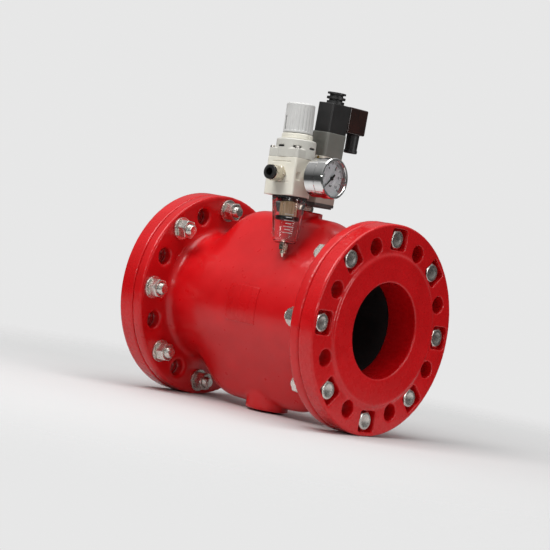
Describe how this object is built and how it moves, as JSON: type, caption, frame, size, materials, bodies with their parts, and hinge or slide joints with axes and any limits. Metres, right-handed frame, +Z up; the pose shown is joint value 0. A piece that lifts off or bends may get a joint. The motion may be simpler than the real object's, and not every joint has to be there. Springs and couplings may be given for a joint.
{
  "type": "pneumatic pinch valve",
  "caption": "Flanged air-operated pinch valve with an oval cast casing, rubber sleeve, recessed body bolts, and a filter regulator, gauge and solenoid valve on top.",
  "frame": {"origin": "centre of the flow bore at mid-length", "axes": "+X along the flow bore to the outlet flange, +Z up through the air boss and the control column, -Y towards the filter regulator"},
  "size_m": [0.28, 0.22, 0.3466],
  "materials": {
    "red_paint": "gloss enamel",
    "sleeve_rubber": "smooth moulded rubber",
    "stainless": "stainless steel",
    "nickel": "nickel-plated brass",
    "chrome": "polished chrome",
    "cream_paint": "satin cream paint",
    "taupe_paint": "satin paint",
    "grey_plastic": "moulded, satin",
    "dark_grey": "dark grey",
    "adapter_grey": "moulded grey",
    "black_plastic": "moulded black",
    "smoked_plastic": "smoked, glossy",
    "clear_plastic": "clear polycarbonate",
    "sintered": "sintered, tan",
    "dial_white": "printed white dial",
    "pointer_black": "black enamel",
    "brass": "turned brass",
    "seal_rubber": "nitrile seal",
    "spring_steel": "spring wire"
  },
  "bodies": {
    "valve": {"valve_casing": "red_paint", "inlet_flange": "red_paint", "outlet_flange": "red_paint", "rubber_sleeve": "sleeve_rubber", "body_bolts": "stainless", "body_washers": "stainless", "body_nuts": "stainless", "boss_plug": "stainless", "air_nipple": "nickel", "base_plate": "dark_grey", "poppet_housing": "taupe_paint", "cover_plate": "cream_paint", "cover_screws": "stainless", "solenoid_adapter": "adapter_grey", "armature_tube": "stainless", "plunger_spring": "spring_steel", "poppet_spring": "spring_steel", "coil": "black_plastic", "coil_nut": "black_plastic", "connector_gasket": "seal_rubber", "plug_connector": "smoked_plastic", "connector_screw": "stainless", "gland_nut": "black_plastic", "gland_seal": "seal_rubber", "outlet_nipple": "nickel", "regulator_body": "cream_paint", "regulator_bonnet": "grey_plastic", "bonnet_screws": "stainless", "panel_nut": "grey_plastic", "setting_spring": "spring_steel", "diaphragm": "seal_rubber", "regulator_poppet_spring": "spring_steel", "filter_element": "sintered", "deflector": "black_plastic", "baffle": "black_plastic", "filter_bowl": "clear_plastic", "bowl_seal": "seal_rubber", "drain_seat": "nickel", "inlet_fitting": "nickel", "tube_seal": "seal_rubber", "gauge_stem": "nickel", "gauge_case": "chrome", "gauge_bezel": "chrome", "gauge_lens": "clear_plastic", "gauge_dial": "dial_white", "gauge_movement": "brass", "bourdon_tube": "brass"},
    "adjuster": {"adjusting_screw": "brass"},
    "knob": {"regulator_knob": "grey_plastic"},
    "seat": {"spring_seat": "brass"},
    "pointer": {"gauge_pointer": "pointer_black"},
    "drain": {"drain_cock": "nickel"},
    "ring": {"release_ring": "black_plastic"},
    "armature": {"plunger": "stainless"},
    "main_poppet": {"poppet": "brass"},
    "override": {"override_button": "brass"},
    "inner_poppet": {"regulator_poppet": "brass"}
  },
  "joints": [
    {"name": "regulator_turn", "type": "hinge", "parent": "valve", "child": "adjuster", "pos_m": [0.01751, -0.048, 0.19038], "axis": [-0.0698, 0, 0.9976], "range_deg": [-920, 920]},
    {"name": "knob_pull", "type": "slide", "parent": "adjuster", "child": "knob", "axis": [-0.0698, 0, 0.9976], "range_m": [0, 0.003]},
    {"name": "seat_feed", "type": "slide", "parent": "valve", "child": "seat", "axis": [-0.0698, 0, 0.9976], "range_m": [-0.0025, 0.0025], "deforming": ["setting_spring"]},
    {"name": "gauge_reading", "type": "hinge", "parent": "valve", "child": "pointer", "pos_m": [0.07287, -0.048, 0.14413], "axis": [-0.9976, 0, -0.0698], "range_deg": [0, 270], "stiffness_Nm_per_rad": 0.0002, "springref_deg": -11.46},
    {"name": "drain_turn", "type": "hinge", "parent": "valve", "child": "drain", "pos_m": [0.02644, -0.048, 0.06269], "axis": [-0.0698, 0, 0.9976], "range_deg": [0, 90]},
    {"name": "release_press", "type": "slide", "parent": "valve", "child": "ring", "axis": [0, 1, 0], "range_m": [0, 0.001], "stiffness_N_per_m": 60, "springref_m": -0.002},
    {"name": "solenoid_lift", "type": "slide", "parent": "valve", "child": "armature", "axis": [0, 0, 1], "range_m": [0, 0.0015], "stiffness_N_per_m": 400, "springref_m": -0.003, "deforming": ["plunger_spring"]},
    {"name": "poppet_lift", "type": "slide", "parent": "valve", "child": "main_poppet", "axis": [0, 0, 1], "range_m": [0, 0.0015], "deforming": ["poppet_spring"]},
    {"name": "override_press", "type": "slide", "parent": "valve", "child": "override", "axis": [0, 1, 0], "range_m": [0, 0.0015], "stiffness_N_per_m": 30, "springref_m": -0.003},
    {"name": "inner_poppet_open", "type": "slide", "parent": "valve", "child": "inner_poppet", "axis": [0.0698, 0, -0.9976], "range_m": [0, 0.0015], "stiffness_N_per_m": 120, "springref_m": -0.003, "deforming": ["regulator_poppet_spring"]}
  ],
  "couplings": [
    {"joint": "regulator_turn", "follows": "seat_feed", "rad_per_m": 6283.2},
    {"joint": "poppet_lift", "follows": "solenoid_lift", "ratio": 1}
  ]
}
